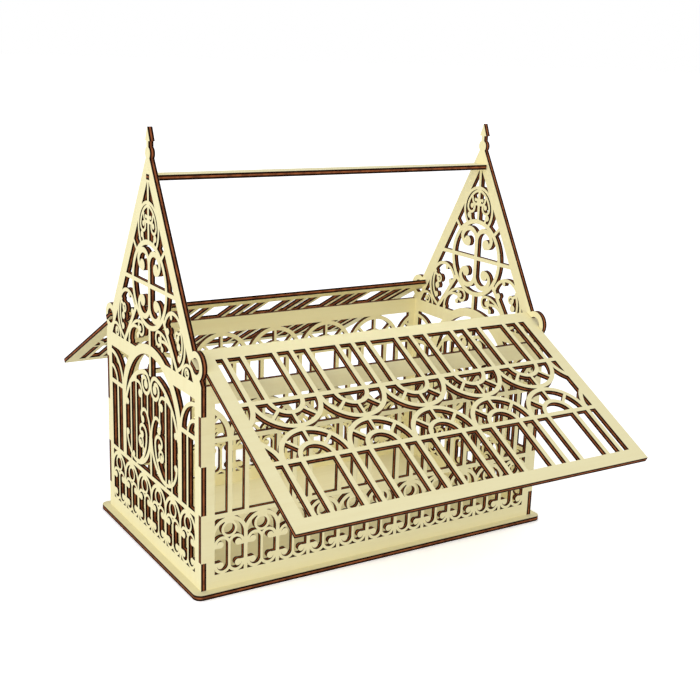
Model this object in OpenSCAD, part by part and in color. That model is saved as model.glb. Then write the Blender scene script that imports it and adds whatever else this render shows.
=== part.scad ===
// Model greenhouse cut from thin plywood sheet, with fretwork walls and two opening roof panels.
// The origin is on the ground under the middle of the base. X runs along the ridge, -Y is the front.

/* [Sheet] */
// Thickness of the plywood sheet
sheet_t = 4; // [3.5:0.1:4.5]
// Solid margin left round each sheet
margin = 10.4; // [9.2:0.1:11.5]
// Width of the straight lattice bars and rails
bar_w = 3.5; // [2.8:0.1:3.9]
// Width of the fine bars, scrolls and leaves
fine_w = 2.3; // [1.9:0.1:2.7]

/* [House] */
// Length over the end walls
house_l = 300; // [280:1:330]
// Width over the long walls
house_w = 179; // [171:1:190]
// Height of the long walls
wall_h = 149.6; // [146:0.1:154]
// Lip of the base plate outside the walls
base_lip = 6.3; // [3.5:0.1:11]
// Corner radius of the base plate
base_r = 5.8; // [2.5:0.1:9]
// Height of the lowest corner finger
foot_finger = 20.8; // [16.5:0.1:25]
// Height of each corner finger above it
finger_h = 35.8; // [30:0.1:38]

/* [Lattice] */
// Height of the solid band at the foot of each wall
foot_band = 10.4; // [7:0.1:12.5]
// Height of the frieze over the foot band
frieze_h = 42.1; // [40.5:0.1:45]
// Height of the long wall's top rail
top_rail = 13; // [10.5:0.1:15]
// Motifs in the frieze of a long wall
long_motifs = 11; // [10:1:12]
// Motifs in the frieze of an end wall
end_motifs = 6; // [6:1:7]
// Spacing of the fan arches along a long wall and a roof panel
arch_pitch = 51.2; // [48.5:0.1:53]
// Radius of a fan arch at the middle of its outer ring
fan_r = 25; // [23.7:0.1:25.9]
// Radius of a fan arch at the middle of its inner ring
hub_r = 12.4; // [10.4:0.1:13.8]

/* [Roof] */
// Distance from the outer face of a long wall in to the hinge line
hinge_in = 8.7; // [7.5:0.1:10.4]
// Height of the hinge line over the long wall's top
hinge_up = 12.4; // [10.4:0.1:13.8]
// Height of the gable's apex over the hinge line
gable_rise = 136.2; // [132:0.1:143]
// Width of the solid border along the gable's slopes
slope_border = 9.8; // [8.1:0.1:11.5]
// Radius of the round hole for a hinge tab
hinge_hole_r = 5.8; // [4.8:0.1:6.3]
// Wood left round the hinge hole in the gable's ear
ear_wall = 4.6; // [3.5:0.1:5.8]
// Length of a hinge tab beyond the gable's outer face
tab_out = 1.7; // [0.6:0.1:4.6]
// Distance from the closed panel's top edge to the apex line
ridge_gap = 7.7; // [5.8:0.1:10.4]
// Distance between the two rows of arches on a roof panel, rail to rail
row_gap = 53.2; // [51.9:0.1:53.5]
// Angle of the open panels below level
open_angle = 28.2; // [10:0.1:40]
// Drop of the ridge bar's middle below the apex
ridge_drop = 18.7; // [16.2:0.1:23]
// Width of the ridge bar's tenons
tenon_w = 5.8; // [3.5:0.1:6.9]
// Height of the finial over the apex
finial_h = 16.2; // [13.8:0.1:20.8]

/* [Gable and door] */
// Height of the solid band at the eaves
eaves_band = 11; // [9.2:0.1:12.6]
// Half width of the doorway, and radius of its arched head
door_r = 50.5; // [48.5:0.1:51.9]
// Height of the springing of the door's arch over the rail below it
door_spring = 43; // [40.4:0.1:45]
// Width of the arched band over the door
door_band = 7.5; // [5.8:0.1:9.2]
// Radius of the round window in the gable, at the middle of its ring
rose_r = 31.2; // [28.9:0.1:32.3]
// Height of the round window's middle over the eaves band
rose_up = 52.1; // [50.8:0.1:54.2]
// Radius of the small medallion over the round window
medal_r = 18.5; // [17.3:0.1:19.1]
// Height of the medallion's middle over the round window's
medal_up = 41.3; // [40.4:0.1:42.1]

/* [Clearances] */
// Gap between a roof panel and each gable
side_gap = 0.3; // [0.2:0.05:0.5]
// Gap between a hinge tab's corners and its hole
tab_gap = 0.3; // [0.2:0.05:0.6]
// Gap that the panel's hinge edge keeps from the wall's top
swing_gap = 0.5; // [0.4:0.1:0.9]
// Gap between the closed panel and the ridge bar
seat_gap = 0.3; // [0.2:0.1:0.6]

/* [Hidden] */
birch = [0.95, 0.91, 0.73];
shade = [0.9, 0.85, 0.66];
$fn = 64;

// How far lattice strokes run into the solid wood round a window
lap = 1.2;
// Sizes that the scrolls were drawn for: half doorway, round window, medallion and gable
drawn_door = 43.8;
drawn_rose = 27;
drawn_medal = 16;
drawn_rise = 118;
door_unit = door_r/drawn_door;
// Width of the scrollwork's main strokes
line_w = 1.2*fine_w;
// Widths of the frieze's posts and arches, and of its stems and rings
post_w = (bar_w + fine_w)/2;
stem_w = 0.85*fine_w;
half_l = house_l/2;
half_w = house_w/2;
wall_foot = sheet_t;
wall_top = wall_foot + wall_h;
frieze_foot = wall_foot + foot_band;
frieze_top = frieze_foot + frieze_h;
sill = frieze_top + bar_w;
mid_rail = wall_top - top_rail + lap/3 - bar_w/2 - fan_r;

// Hinge line, apex and slope of the roof
hinge_y = half_w - hinge_in;
hinge_z = wall_top + hinge_up;
apex_z = hinge_z + gable_rise;
slope = atan2(gable_rise, hinge_y);
slope_len = norm([hinge_y, gable_rise]);
ridge_z = apex_z - ridge_drop;

// Heights in the end wall
band_top = wall_top;
band_foot = band_top - eaves_band;
door_z = sill + door_spring;
rose_z = band_top + rose_up;
medal_z = rose_z + medal_up;

// Roof panel: its length, and its reach either side of the hinge line
panel_l = house_l - 2*sheet_t - 2*side_gap;
panel_reach = slope_len - ridge_gap;
wall_edge_r = norm([hinge_in - sheet_t, hinge_up]);
hinge_lap = sqrt(pow(wall_edge_r - swing_gap, 2) - pow(sheet_t/2, 2));
tab_w = 2*sqrt(pow(hinge_hole_r - tab_gap, 2) - pow(sheet_t/2, 2));

// Ridge bar: as wide as the closed panels leave room for
under_y = hinge_y - (ridge_z + sheet_t/2 - hinge_z)/tan(slope) - sheet_t/2/sin(slope);
ridge_half = under_y - seat_gap/sin(slope);

// Straight bar of width w from point p to point q
module bar(p, q, w) {
    d = q - p;
    translate(p) rotate(atan2(d[1], d[0])) translate([0, -w/2]) square([norm(d), w]);
}

// Whole ring of mean radius r and width w round point c
module ring(c, r, w) {
    translate(c) difference() {
        circle(r + w/2);
        circle(r - w/2);
    }
}

// Sector that takes in the angles from a to b, wide enough for radius r
module sector(r, a, b) {
    steps = ceil(abs(b - a)/60);
    polygon(concat([[0, 0]], [for (i = [0:steps]) let (t = a + (b - a)*i/steps) 2*r*[cos(t), sin(t)]]));
}

// Stretch of a ring round point c between the angles a and b
module arc(c, r, w, a, b) {
    translate(c) intersection() {
        difference() {
            circle(r + w/2);
            circle(r - w/2);
        }
        sector(r + w, a, b);
    }
}

// Round blob at point c
module blob(c, r) {
    translate(c) circle(r);
}

// Draws its children and their mirror image across the middle line
module both_sides() {
    children();
    mirror([1, 0]) children();
}

// One stroke of scrollwork: from point p in direction h it follows bends of [radius, turn],
// where a positive turn is to the left, and ends in a blob
module stroke(p, h, bends, w, end_r = 0, i = 0) {
    overlap = 0.05;
    trim = 0.2;
    blob(p, w/2 + overlap);
    if (i < len(bends)) {
        r = bends[i][0];
        turn = bends[i][1];
        side = sign(turn);
        c = p + r*side*[-sin(h), cos(h)];
        a = h - 90*side;
        cut = side*trim/r*180/PI;
        arc(c, r, w, a + cut, a + turn - cut);
        stroke(c + r*[cos(a + turn), sin(a + turn)], h + turn, bends, w, end_r, i + 1);
    } else if (end_r > 0) {
        blob(p, end_r);
    }
}

// Height of the middle of a frieze arch over the foot of the frieze
function frieze_head(pitch) = frieze_h - pitch/2 - post_w/2 + lap/3;

// Frieze motif in a bay as wide as the pitch, drawn up from the foot of the frieze: a round arch
// with a ring bridged to its head, over a stem whose two ends part into scrolls that curl in at the posts
module frieze_motif(pitch) {
    seam = 0.05;
    kerf = 0.15;
    ring_r = 0.203*pitch;
    bridge_w = 1.45*ring_r;
    eye_r = pitch/10;
    scroll_r = 0.216*pitch;
    inner_r = scroll_r - fine_w/2;
    scroll_x = stem_w/2 + inner_r - seam;
    eye_x = scroll_x + inner_r - eye_r - kerf;
    head = frieze_head(pitch);
    ring_z = head + 0.19*pitch;
    ring_to_scroll = ring_r + scroll_r + (stem_w + fine_w)/2 - lap/8;
    high = ring_z - sqrt(pow(ring_to_scroll, 2) - pow(scroll_x, 2));
    low = scroll_r + fine_w/2 - lap/8;
    arc([0, head], pitch/2, post_w, 0, 180);
    difference() {
        union() {
            blob([0, ring_z], ring_r + stem_w/2);
            bar([0, ring_z], [0, head + pitch/2], bridge_w);
        }
        blob([0, ring_z], ring_r - stem_w/2);
    }
    bar([0, low - lap], [0, high + lap], stem_w);
    both_sides() intersection() {
        translate([-seam, -lap]) square([pitch/2, frieze_h]);
        for (end = [[low, 0], [high, 1]]) translate([0, end[0]]) mirror([0, end[1]]) {
            arc([scroll_x, 0], scroll_r, fine_w, 180, 360);
            blob([eye_x, -eye_r/8], eye_r);
            bar([eye_x, eye_r/4], [pitch/2, eye_r/4], line_w);
        }
    }
}

// Row of frieze motifs across a window of the given half width, with a post between each two
module frieze(half, count) {
    pitch = (2*half + post_w)/count;
    translate([0, frieze_foot]) {
        for (i = [0:count - 1])
            translate([(i - (count - 1)/2)*pitch, 0]) frieze_motif(pitch);
        for (i = [1:count - 1])
            bar([(i - count/2)*pitch, -lap], [(i - count/2)*pitch, frieze_head(pitch) + lap], post_w);
    }
}

// Row of fan arches on the x axis with spokes between their rings, kept inside a window
// from -half to half and up to the given height
module fan_row(half, height) {
    reach = ceil(half/arch_pitch);
    intersection() {
        translate([-half - lap, 0]) square([2*(half + lap), height]);
        for (i = [-reach:reach]) translate([i*arch_pitch, 0]) {
            ring([0, 0], fan_r, bar_w);
            ring([0, 0], hub_r, bar_w - 0.2);
            for (a = [45, 90, 135]) rotate(a) bar([hub_r, 0], [fan_r, 0], fine_w);
        }
    }
}

// Upright bars under a row of fan arches, between the heights a and b
module fan_bars(half, a, b) {
    reach = ceil(half/arch_pitch);
    for (i = [-reach:reach], x = [-hub_r, hub_r, arch_pitch/2])
        if (abs(i*arch_pitch + x) < half - bar_w)
            bar([i*arch_pitch + x, a - lap], [i*arch_pitch + x, b + lap], bar_w);
}

// Heights of the foot of each corner finger, lowest first
function finger_z(i) = wall_foot + (i == 0 ? 0 : foot_finger + (i - 1)*finger_h);

// Long wall, drawn in X and Z
module long_wall_sheet() {
    half = half_l - margin;
    difference() {
        union() {
            translate([-half_l + sheet_t, wall_foot]) square([house_l - 2*sheet_t, wall_h]);
            for (i = [1, 3]) translate([-half_l, finger_z(i)]) square([house_l, finger_h]);
        }
        translate([-half, frieze_foot]) square([2*half, frieze_h]);
        translate([-half, sill]) square([2*half, wall_top - top_rail - sill]);
    }
    frieze(half, long_motifs);
    bar([-half - lap, mid_rail], [half + lap, mid_rail], bar_w);
    fan_bars(half, sill, mid_rail);
    translate([0, mid_rail]) fan_row(half, wall_top - top_rail - mid_rail + lap);
}

// Roof panel, drawn with the hinge line on the x axis and its free edge up
module roof_panel_sheet() {
    half = panel_l/2 - margin;
    foot = -hinge_lap + margin;
    head = panel_reach - margin;
    middle = (foot + head)/2;
    low_rail = middle - row_gap/2;
    high_rail = middle + row_gap/2;
    tab_l = side_gap + sheet_t + tab_out;
    difference() {
        union() {
            translate([-panel_l/2, -hinge_lap]) square([panel_l, panel_reach + hinge_lap]);
            translate([-panel_l/2 - tab_l, -tab_w/2]) square([panel_l + 2*tab_l, tab_w]);
        }
        translate([-half, foot]) square([2*half, head - foot]);
    }
    for (y = [low_rail, high_rail]) bar([-half - lap, y], [half + lap, y], bar_w);
    fan_bars(half, foot, low_rail);
    fan_bars(half, high_rail, head);
    translate([0, low_rail]) fan_row(half, row_gap);
    translate([0, high_rail]) mirror([0, 1]) fan_row(half, row_gap);
}

// Half width of the gable's opening at height z
function gable_half(z) = (apex_z - z)/tan(slope) - slope_border/sin(slope);

// Outline of an end wall, with its ears and finial, drawn in Y and Z
module end_wall_outline() {
    neck_w = 3.5;
    bulb_r = 4.6;
    bulb_drop = 2.1;
    tip_w = 8.3;
    tip_h = 9.8;
    difference() {
        translate([-half_w, wall_foot]) square([house_w, wall_h]);
        for (i = [1, 3], x = [-half_w - lap, half_w - sheet_t])
            translate([x, finger_z(i)]) square([sheet_t + lap, finger_h]);
    }
    polygon([[-half_w, wall_top - lap], [half_w, wall_top - lap], [half_w, wall_top],
             [hinge_y, hinge_z], [0, apex_z], [-hinge_y, hinge_z], [-half_w, wall_top]]);
    for (y = [-hinge_y, hinge_y]) blob([y, hinge_z], hinge_hole_r + ear_wall);
    blob([0, apex_z - bulb_drop], bulb_r);
    bar([0, apex_z], [0, apex_z + finial_h - tip_h + lap], neck_w);
    translate([0, apex_z + finial_h - tip_h]) polygon([[-tip_w/2, 0], [tip_w/2, 0], [0, tip_h]]);
}

// The openings of an end wall: frieze, side windows, doorway and gable
module end_wall_openings() {
    half = half_w - margin;
    jamb = door_r + door_band - lap;
    translate([-half, frieze_foot]) square([2*half, frieze_h]);
    both_sides() {
        translate([jamb, sill]) square([half - jamb, mid_rail - bar_w/2 - sill]);
        difference() {
            translate([jamb - 2*door_band, mid_rail + bar_w/2])
                square([half - jamb + 2*door_band, band_foot - mid_rail - bar_w/2]);
            translate([0, door_z]) circle(door_r + door_band);
        }
    }
    translate([-door_r, sill]) square([2*door_r, door_z - sill]);
    translate([0, door_z]) intersection() {
        circle(door_r);
        translate([-2*door_r, 0]) square([4*door_r, 2*door_r]);
    }
    difference() {
        polygon([[-gable_half(band_top), band_top], [gable_half(band_top), band_top],
                 [0, apex_z - slope_border/cos(slope)]]);
        translate([0, door_z]) circle(door_r + door_band);
    }
    for (y = [-hinge_y, hinge_y]) blob([y, hinge_z], hinge_hole_r);
}

// Side windows of an end wall: a fan's quarter rings over a glazing bar
module side_windows() {
    half = half_w - margin;
    both_sides() {
        bar([half - hub_r, sill - lap], [half - hub_r, mid_rail], line_w);
        arc([half + lap/2, mid_rail], hub_r, line_w, 90, 180);
        arc([half + lap/2, mid_rail], fan_r - 2*lap/3, 1.4*fine_w, 85, 180);
    }
}

// Upper half of the door, drawn from the middle of its arch: a low arch that ends in two facing
// volutes, a smaller curl under each, and the bars that carry it
module door_volutes() {
    thin = 2.2;
    thick = 3;
    arch = [3.6, -10.8];
    arch_r = 41.8;
    volute = [7.3, 22.8];
    curl = [17.6, 13.9];
    foot = -(door_spring + lap)/door_unit;
    bar([0, 30], [0, drawn_door + lap], thick);
    both_sides() {
        arc(arch, arch_r, thick, 14, 83);
        for (x = [24.6, 34]) bar([x, foot], [x, arch[1] + sqrt(pow(arch_r, 2) - pow(x - arch[0], 2))], 2);
        stroke(volute + [1.4, 7.8], 180, [[7.6, 90], [6.3, 180], [3.9, 130]], thick - 0.4);
        blob(volute, 3);
        bar([33, 19], [24.6, 22.3], thick);
        stroke([33, 19], 158, [[30, 24], [6.4, 85]], thin);
        blob(curl, 2.8);
        blob([40.2, 2.2], 2.3);
    }
}

// Lower half of the door, drawn from the middle of its sill: two leaves back to back, each with a
// curl at its tip, a curled vein and a small spiral
module door_leaves() {
    thin = 2.4;
    thick = 3.2;
    leaf = [25, 26.3];
    leaf_r = 24.1;
    foot = [25, 18.9];
    foot_r = 16.7;
    spiral = [16.9, 18.5];
    bar([0, -lap], [0, 21], 2.6);
    both_sides() {
        arc(leaf, leaf_r, thick, 180, 270);
        arc(foot, foot_r, thin, 265, 362);
        stroke(leaf - [leaf_r, 0], 90, [[22, -38], [6, -110], [3.2, -105]], thin, 2.6);
        bar([20.8, 2.2], [14.8, 7.2], thin);
        stroke([15, 7], 137, [[24, -47], [6, -130], [3, -150]], thin, 2.4);
        ring(spiral, 3.4, 2);
        blob(spiral + [0.6, -0.7], 1.8);
        bar([10.5, 13.5], spiral - [2.4, 2.5], 2);
        blob([40.2, 18.2], 2.3);
        blob([30.2, 5.4], 2);
        bar([5, 38.5], [5, 54.5], 1.8);
        bar([15, 39.5], [15, 52], 1.8);
    }
}

// Fretwork of the door, sized by the doorway
module door_fretwork() {
    translate([0, door_z]) scale(door_unit) door_volutes();
    translate([0, sill]) scale(door_unit) door_leaves();
}

// Scrolls inside the round window, drawn from its middle: a stem that parts at each end into two
// scrolls, each of which bends over, turns back in a tighter tail and closes on its eye
module rose_scrolls() {
    seam = 0.05;
    stem = 1.8;
    scroll_r = 8.7;
    scroll_w = 3.55;
    scroll = [stem + scroll_r - scroll_w/2 - seam, 12.5];
    tail = scroll + [2.8, 2.5];
    tail_r = 5.6;
    tail_w = 3.3;
    eye = scroll + [2.1, -1.15];
    eye_r = 3.8;
    reach = scroll[1] + scroll_w;
    bar([0, -reach], [0, reach], 2*stem);
    for (side = [0, 1]) mirror([0, side]) both_sides() intersection() {
        translate([-seam, 0]) square([2*drawn_rose, 2*drawn_rose]);
        union() {
            arc(scroll, scroll_r, scroll_w, 14, 180);
            arc(tail, tail_r, tail_w, -90, 8);
            blob(eye, eye_r);
        }
    }
}

// Leaf scrolls inside the medallion, drawn from its middle: a curled vein down each side, and from
// a boss on the stem a small scroll that rises round its eye to meet the vein
module medallion_scrolls() {
    thin = 1.9;
    boss_w = 4.8;
    scroll = [3.6, 3.9];
    eye = [3.9, 7.1];
    bar([0, scroll[1] - thin/2], [0, eye[1] + thin/2], boss_w);
    both_sides() {
        stroke([-0.3, 14.2], -8, [[15, -70], [3.9, -200]], thin);
        bar([0, scroll[1]], scroll, thin);
        stroke(scroll, 0, [[3.4, 80], [11, -16]], thin);
        bar([0, eye[1]], eye, thin - 0.1);
        blob(eye, 1.3);
        bar([5.2, 4.4], [7.7, 2.5], thin);
        blob([7.7, 2.3], 1.8);
        blob([10.3, -4.9], 2.2);
        bar([9.4, -5.6], [8, -8.4], 2);
    }
}

// Loops and scrolls beside the round window, drawn from the middle of the eaves band's top
module gable_scrolls() {
    thin = 2;
    mid = 2.4;
    spiral = [43.2, 22.1];
    corner = [57.3, 3];
    both_sides() {
        bar([20.8, 29], [44.3, -lap], 3.2);
        arc([37.6, 21], 14.1, mid, 25, 163);
        arc([38.2, 16.7], 16.2, mid, -68, 50);
        arc([34, 18.3], 16.6, thin, -43, 36);
        blob([28.9, 22.2], 2.2);
        blob([34.3, 32.2], 1.7);
        ring(spiral, 2.4, 1.8);
        blob(spiral + [0.6, -0.5], 1.2);
        bar(spiral + [1.6, 1.7], [48.8, 25.8], 2);
        bar(spiral + [1.2, -2.5], [45, 17.5], 2);
        blob([45.3, 16.3], 2.5);
        blob([46, 9.1], 2.2);
        arc([59, -0.2], 8.5, thin, 25, 185);
        ring(corner, 2.5, 1.6);
        blob(corner + [0.6, 0.5], 1.2);
        stroke([31.2, 11.6], 131.6, [[21, 52.4], [4.2, 300]], thin);
        blob([15.9, 14], 1.9);
        bar([18.2, 11.1], [20, 8.7], 2);
        blob([20, 8.7], 1.9);
        stroke([35.6, -0.2], 92, [[30, 12], [10, 55], [16, 30]], thin);
        blob([35, 1.3], 1.7);
    }
}

// Fretwork of the gable: the round window, the medallion over it and the scrolls beside it
module gable_fretwork() {
    cross = gable_half(rose_z) + lap;
    peak = apex_z - slope_border/cos(slope);
    brace_x = gable_half(rose_z)*tan(slope)/(1 + tan(slope)) + 2*lap;
    ring([0, rose_z], rose_r, bar_w + 0.2);
    bar([-cross, rose_z], [cross, rose_z], bar_w - 0.3);
    bar([0, door_z + door_r + lap], [0, rose_z - rose_r], bar_w);
    bar([0, rose_z + rose_r], [0, peak], fine_w + 0.6);
    translate([0, rose_z]) for (a = [45, 135]) rotate(a) bar([rose_r, 0], [brace_x*sqrt(2), 0], line_w);
    difference() {
        ring([0, medal_z], medal_r, fine_w + 0.2);
        blob([0, rose_z], rose_r);
    }
    translate([0, rose_z]) scale(rose_r/drawn_rose) rose_scrolls();
    translate([0, medal_z]) scale(medal_r/drawn_medal) medallion_scrolls();
    translate([0, band_top]) scale(gable_rise/drawn_rise) gable_scrolls();
}

// End wall, drawn in Y and Z
module end_wall_sheet() {
    difference() {
        union() {
            difference() {
                end_wall_outline();
                end_wall_openings();
            }
            frieze(half_w - margin, end_motifs);
            side_windows();
            door_fretwork();
            gable_fretwork();
        }
        translate([-tenon_w/2, ridge_z - sheet_t/2]) square([tenon_w, sheet_t]);
    }
}

// Stands an end wall's sheet on the base with its outer face at x
module stand_across(x) {
    translate([x, 0, 0]) rotate([90, 0, 90]) linear_extrude(sheet_t) children();
}

// Stands a long wall's sheet on the base with its back face at y
module stand_along(y) {
    translate([0, y, 0]) rotate([90, 0, 0]) linear_extrude(sheet_t) children();
}

// Hangs a roof panel's sheet on the hinge line, turned by the angle a about it
module hang(y, a) {
    translate([0, y, hinge_z]) rotate([a, 0, 0]) translate([0, 0, -sheet_t/2]) linear_extrude(sheet_t)
        children();
}

module base_plate() {
    plate_l = house_l + 2*base_lip;
    plate_w = house_w + 2*base_lip;
    color(shade) linear_extrude(sheet_t) {
        square([plate_l, plate_w - 2*base_r], center = true);
        square([plate_l - 2*base_r, plate_w], center = true);
        for (x = [-1, 1], y = [-1, 1])
            blob([x*(plate_l/2 - base_r), y*(plate_w/2 - base_r)], base_r);
    }
}

module left_end_wall() {
    color(birch) stand_across(-half_l) end_wall_sheet();
}

module right_end_wall() {
    color(birch) stand_across(half_l - sheet_t) end_wall_sheet();
}

module front_wall() {
    color(birch) stand_along(-half_w + sheet_t) long_wall_sheet();
}

module back_wall() {
    color(birch) stand_along(half_w) long_wall_sheet();
}

module ridge_bar() {
    color(shade) translate([0, 0, ridge_z - sheet_t/2]) linear_extrude(sheet_t) {
        square([house_l - 2*sheet_t, 2*ridge_half], center = true);
        square([house_l, tenon_w], center = true);
    }
}

module front_roof_panel() {
    color(birch) hang(-hinge_y, 180 + open_angle) roof_panel_sheet();
}

module back_roof_panel() {
    color(birch) hang(hinge_y, -open_angle) roof_panel_sheet();
}

base_plate();
left_end_wall();
right_end_wall();
front_wall();
back_wall();
ridge_bar();
front_roof_panel();
back_roof_panel();
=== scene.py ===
"""Dresses the plywood model greenhouse: birch faces, burnt edges, a white studio and the camera."""

from math import pi, radians

import bpy
import numpy as np
from mathutils import Matrix, Vector

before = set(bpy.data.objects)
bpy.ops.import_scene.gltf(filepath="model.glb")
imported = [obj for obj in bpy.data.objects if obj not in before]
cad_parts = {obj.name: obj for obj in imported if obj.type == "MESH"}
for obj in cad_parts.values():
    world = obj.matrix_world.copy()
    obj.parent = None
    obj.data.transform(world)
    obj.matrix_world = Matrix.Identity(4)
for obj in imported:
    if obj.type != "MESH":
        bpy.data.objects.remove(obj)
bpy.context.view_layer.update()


# Base plate: the floor of the house, a rounded rectangle of three-ply birch with a lip outside the
# walls that stand on it. Its birch is a darker copy of the walls' birch: painted shade for the lip,
# which the walls and the open front panel shade.

class Wire:
    """A shader socket to do sums with: each operator adds the Math node that it stands for."""

    def __init__(self, tree, socket=None):
        self.tree = tree
        self.socket = socket

    def add(self, kind, settings, inputs, output=0):
        """Adds a node, sets it up, fills or links its sockets and gives one of its outputs."""
        node = self.tree.nodes.new(kind)
        for name, value in settings.items():
            setattr(node, name, value)
        for key, value in inputs.items():
            if isinstance(value, Wire):
                self.tree.links.new(value.socket, node.inputs[key])
            else:
                node.inputs[key].default_value = value
        return Wire(self.tree, node.outputs[output])

    def sum(self, operation, *values):
        """The result of one Math node on these values."""
        return self.add("ShaderNodeMath", {"operation": operation}, dict(enumerate(values)))

    def __add__(self, other):
        return self.sum("ADD", self, other)

    __radd__ = __add__

    def __sub__(self, other):
        return self.sum("SUBTRACT", self, other)

    def __rsub__(self, other):
        return self.sum("SUBTRACT", other, self)

    def __mul__(self, other):
        return self.sum("MULTIPLY", self, other)

    __rmul__ = __mul__

    def __abs__(self):
        return self.sum("ABSOLUTE", self)

    def dot(self, vector):
        """How far a point lies along a fixed direction, or the cosine between two directions."""
        return self.add("ShaderNodeVectorMath", {"operation": "DOT_PRODUCT"}, {0: self, 1: vector}, "Value")

    def step(self, low, high):
        """Rises smoothly from 0 at low to 1 at high."""
        return self.add("ShaderNodeMapRange", {"interpolation_type": "SMOOTHSTEP"},
                        {"Value": self, "From Min": low, "From Max": high})

    def noise(self, waves, detail):
        """Noise from 0 to 1 on the point, with so many waves to the metre in each direction."""
        point = self.add("ShaderNodeVectorMath", {"operation": "MULTIPLY"}, {0: self, 1: waves})
        return self.add("ShaderNodeTexNoise", {}, {"Vector": point, "Scale": 1.0, "Detail": detail})

    def tint(self, first, second):
        """Colour between two others: the first where this value is 0 and the second where it is 1."""
        return self.add("ShaderNodeMix", {"data_type": "RGBA"}, {"Factor": self, 6: first, 7: second}, 2)


# Painted shade: the base plate's two tones are the walls' birch made darker, for the shade on its lip by
# the walls and under the open panel.
BASE_VENEER_IN_PAINTED_SHADE = (0.815, 0.755, 0.480, 1)
BASE_STREAK_IN_PAINTED_SHADE = (0.785, 0.715, 0.440, 1)
SCORCH = (0.430, 0.280, 0.120, 1)
CORE_PLY = (0.375, 0.117, 0.042, 1)
CORE_DARK = (0.165, 0.050, 0.019, 1)
CHAR = (0.008, 0.002, 0.001, 1)
CHAR_WARM = (0.024, 0.006, 0.003, 1)

# Waves to the metre along, across and through the sheet.
STREAK_WAVES = (9, 190, 40)
FIBRE_WAVES = (60, 1900, 300)
BEAM_WAVES = (1100, 1100, 90)
SOOT_WAVES = (160, 160, 160)

# Depths as shares of half the thickness: where the core ends, and where the face begins.
CORE_ENDS = (0.25, 0.34)
FACE_BEGINS = (0.965, 0.985)

RIM_WIDTH = 0.0005
RIM_SCORCH = 0.35
EDGE_ROUGHNESS = 0.78
FACE_SMOOTHER_BY = 0.2
FIBRE_ROUGHNESS = 0.06
RELIEF_HEIGHT = 0.00015


def sheet_axes(node):
    """The sheet's directions along, across and through it, the height of its middle and its half
    thickness. They are the axes of greatest, middle and least spread of its corners."""
    points = np.empty(3*len(node.data.vertices))
    node.data.vertices.foreach_get("co", points)
    points = points.reshape(-1, 3)
    along, across, through = np.linalg.svd(points - points.mean(axis=0), full_matrices=False)[2]
    depth = points @ through
    return along, across, through, (depth.max() + depth.min())/2, (depth.max() - depth.min())/2


def birch_plywood(node, veneer, streak):
    """Three-ply birch for one sheet, its faces between two tones. Depth from the sheet's middle tells
    the pale faces from the cut edge, and in the edge the brown core from the charred plies beside it."""
    along, across, through, middle, half = sheet_axes(node)
    material = bpy.data.materials.new("birch_plywood." + node.name)
    material.use_nodes = True
    tree = material.node_tree
    shader = tree.nodes["Principled BSDF"]
    wire = Wire(tree)
    spot = wire.add("ShaderNodeTexCoord", {}, {}, "Object")
    depth = spot.dot(tuple(through)) - float(middle)
    from_middle = abs(depth)*float(1/half)
    flat = wire.add("ShaderNodeCombineXYZ", {},
                    {0: spot.dot(tuple(along)), 1: spot.dot(tuple(across)), 2: depth})

    streaks = flat.noise(STREAK_WAVES, 3)
    fibres = flat.noise(FIBRE_WAVES, 2)
    face = (streaks.step(0.35, 0.75)*0.6 + fibres.step(0.4, 0.8)*0.4).tint(veneer, streak)
    rounded = wire.add("ShaderNodeBevel", {"samples": 6}, {"Radius": RIM_WIDTH})
    plain = wire.add("ShaderNodeNewGeometry", {}, {}, "True Normal")
    rim = (1 - rounded.dot(plain)).step(0.0, 0.25)
    face = (rim*RIM_SCORCH).tint(face, SCORCH)

    beam_marks = flat.noise(BEAM_WAVES, 1)
    soot = flat.noise(SOOT_WAVES, 2)
    core = soot.step(0.3, 0.7).tint(CORE_PLY, CORE_DARK)
    charred = beam_marks.step(0.35, 0.75).tint(CHAR, CHAR_WARM)
    edge = from_middle.step(*CORE_ENDS).tint(core, charred)

    is_face = from_middle.step(*FACE_BEGINS)
    tree.links.new(is_face.tint(edge, face).socket, shader.inputs["Base Color"])
    roughness = EDGE_ROUGHNESS - is_face*FACE_SMOOTHER_BY + fibres*FIBRE_ROUGHNESS
    tree.links.new(roughness.socket, shader.inputs["Roughness"])
    relief = is_face*fibres*0.25 + (1 - is_face)*beam_marks
    bump = wire.add("ShaderNodeBump", {}, {"Strength": 0.25, "Distance": RELIEF_HEIGHT, "Height": relief})
    tree.links.new(bump.socket, shader.inputs["Normal"])
    shader.inputs["Specular IOR Level"].default_value = 0.05
    node.data.materials.clear()
    node.data.materials.append(material)


# The base plate takes the darker copy of the birch, which is painted shade.
birch_plywood(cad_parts["base_plate"], BASE_VENEER_IN_PAINTED_SHADE, BASE_STREAK_IN_PAINTED_SHADE)


# Walls: two pierced long walls and two gabled end walls, each cut in one piece from the same birch
# plywood. Their fingers lock at the corners, so the burnt plies show down every corner of the house.

VENEER = (0.930, 0.858, 0.528, 1)
VENEER_STREAK = (0.900, 0.813, 0.480, 1)

for wall in ("left_end_wall", "right_end_wall", "front_wall", "back_wall"):
    birch_plywood(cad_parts[wall], VENEER, VENEER_STREAK)


# Ridge bar: a flat strip of the same plywood. A tenon at each end goes through a slot in the gable,
# and the free edges of the closed roof panels come up beside it.

birch_plywood(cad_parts["ridge_bar"], VENEER, VENEER_STREAK)


# Roof panels: two pierced sheets of the same plywood, with a tab at each end that turns in the
# gables' round ears, so each swings up to the ridge or hangs open beside its wall.

for panel in ("front_roof_panel", "back_roof_panel"):
    birch_plywood(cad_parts[panel], VENEER, VENEER_STREAK)


# Floor: a plain white table top under the base plate. It runs on into the white background and
# takes the soft shadow, and it looks whiter than the light that it throws back.

TABLE_SIDE = 40.0
TABLE_LIT = (0.80, 0.80, 0.80, 1)
TABLE_SEEN = (1.60, 1.62, 1.70, 1)


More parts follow.
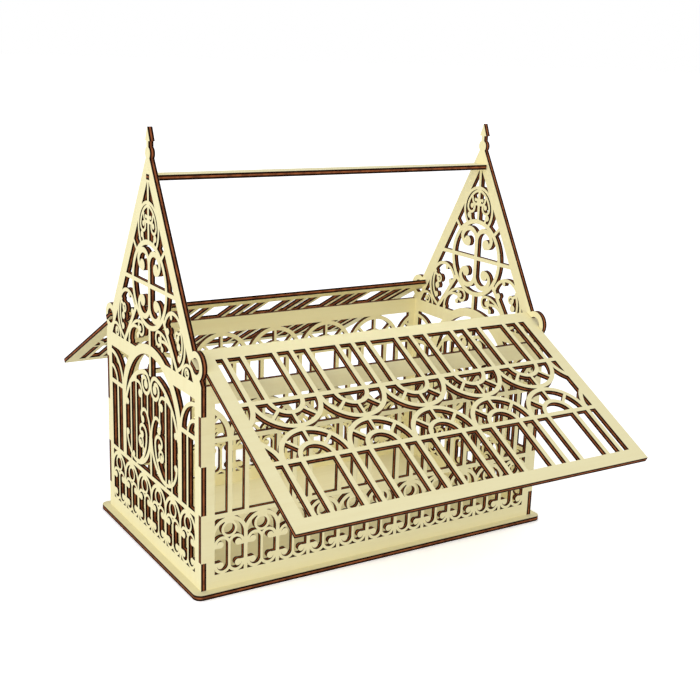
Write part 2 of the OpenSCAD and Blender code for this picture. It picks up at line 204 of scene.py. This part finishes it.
def flat_square(name, side, height):
    """A level square: x and y run over a two by two grid at one height."""
    x, y = np.meshgrid([-side/2, side/2], [-side/2, side/2])
    corners = np.stack([x, y, np.full_like(x, height)], axis=-1).reshape(-1, 3)
    mesh = bpy.data.meshes.new(name)
    mesh.from_pydata(corners.tolist(), [], [(0, 1, 3, 2)])
    square = bpy.data.objects.new(name, mesh)
    bpy.context.scene.collection.objects.link(square)
    return square


def seen_directly(wire):
    """1 for rays from the camera, by way of a reflection too, and 0 for rays that carry light."""
    seen = [wire.add("ShaderNodeLightPath", {}, {}, name)
            for name in ("Is Camera Ray", "Is Glossy Ray", "Is Transmission Ray")]
    return (seen[0] + seen[1] + seen[2]).step(0.0, 1.0)


floor = flat_square("floor", TABLE_SIDE, 0.0)
table_white = bpy.data.materials.new("table_white")
table_white.use_nodes = True
table_wire = Wire(table_white.node_tree)
table_shader = table_white.node_tree.nodes["Principled BSDF"]
table_colour = seen_directly(table_wire).tint(TABLE_LIT, TABLE_SEEN)
table_white.node_tree.links.new(table_colour.socket, table_shader.inputs["Base Color"])
table_shader.inputs["Roughness"].default_value = 0.9
table_shader.inputs["Specular IOR Level"].default_value = 0.0
floor.data.materials.append(table_white)


# Light: a white room for the soft fill, a broad lamp low on the left that brings out the gable's
# face before the long wall's, a weak fill from either side, and a small softbox over the open roof.

ROOM_LEVEL = 0.72
HOUSE_MIDDLE = (0.0, 0.0, 0.14)

world = bpy.data.worlds.new("white_room")
bpy.context.scene.world = world
world.use_nodes = True
room_seen = seen_directly(Wire(world.node_tree))
room = world.node_tree.nodes["Background"]
room_strength = ROOM_LEVEL + (1 - ROOM_LEVEL)*room_seen
world.node_tree.links.new(room_strength.socket, room.inputs["Strength"])
room.inputs["Color"].default_value = (1, 1, 1, 1)


def hang_lamp(name, kind, place, aim, level):
    """A lamp at a place, turned so that it shines on the point that it is aimed at."""
    lamp = bpy.data.lights.new(name, kind)
    lamp.energy = level
    holder = bpy.data.objects.new(name, lamp)
    bpy.context.scene.collection.objects.link(holder)
    turned = (Vector(aim) - Vector(place)).to_track_quat("-Z", "Y").to_matrix().to_4x4()
    holder.matrix_world = Matrix.Translation(place) @ turned
    return lamp


window_lamp = hang_lamp("window_lamp", "AREA", (-1.93, -1.20, 0.83), HOUSE_MIDDLE, 14)
window_lamp.shape = "DISK"
window_lamp.size = 1.6

left_fill = hang_lamp("left_fill", "SUN", (-0.86, -0.50, 0.26), HOUSE_MIDDLE, 0.42)
right_fill = hang_lamp("right_fill", "SUN", (0.86, 0.50, 0.26), HOUSE_MIDDLE, 0.80)
for fill in (left_fill, right_fill):
    fill.use_shadow = False

roof_lamp = hang_lamp("roof_lamp", "AREA", (0.0, -0.35, 0.90), (0.0, 0.05, 0.0), 0.018)
roof_lamp.shape = "RECTANGLE"
roof_lamp.size = 0.22
roof_lamp.size_y = 0.05
roof_lamp.spread = radians(8)


# Camera: at the photograph's own place, found from the corners of the walls, the fingers and the
# finials. It stands at a distance from the point that it aims at, and leans a little to one side.

PHOTO_SIDE = 700
FOCAL_PIXELS = 1142.85
SENSOR = 36.0
AZIMUTH = radians(-32.217)
ELEVATION = radians(14.9476)
LEAN = radians(1.9855)
DISTANCE = 0.90718
AIM = Vector((0.01166, -0.01771, 0.14392))

view = bpy.data.cameras.new("view")
view.sensor_fit = "HORIZONTAL"
view.sensor_width = SENSOR
view.lens = FOCAL_PIXELS*SENSOR/PHOTO_SIDE
view.clip_end = 100
camera = bpy.data.objects.new("camera", view)
bpy.context.scene.collection.objects.link(camera)
turn = (Matrix.Rotation(AZIMUTH, 3, "Z") @ Matrix.Rotation(pi/2 - ELEVATION, 3, "X")
        @ Matrix.Rotation(LEAN, 3, "Z"))
camera.matrix_world = Matrix.Translation(AIM + turn @ Vector((0, 0, DISTANCE))) @ turn.to_4x4()
bpy.context.scene.camera = camera
bpy.context.scene.view_settings.view_transform = "Standard"
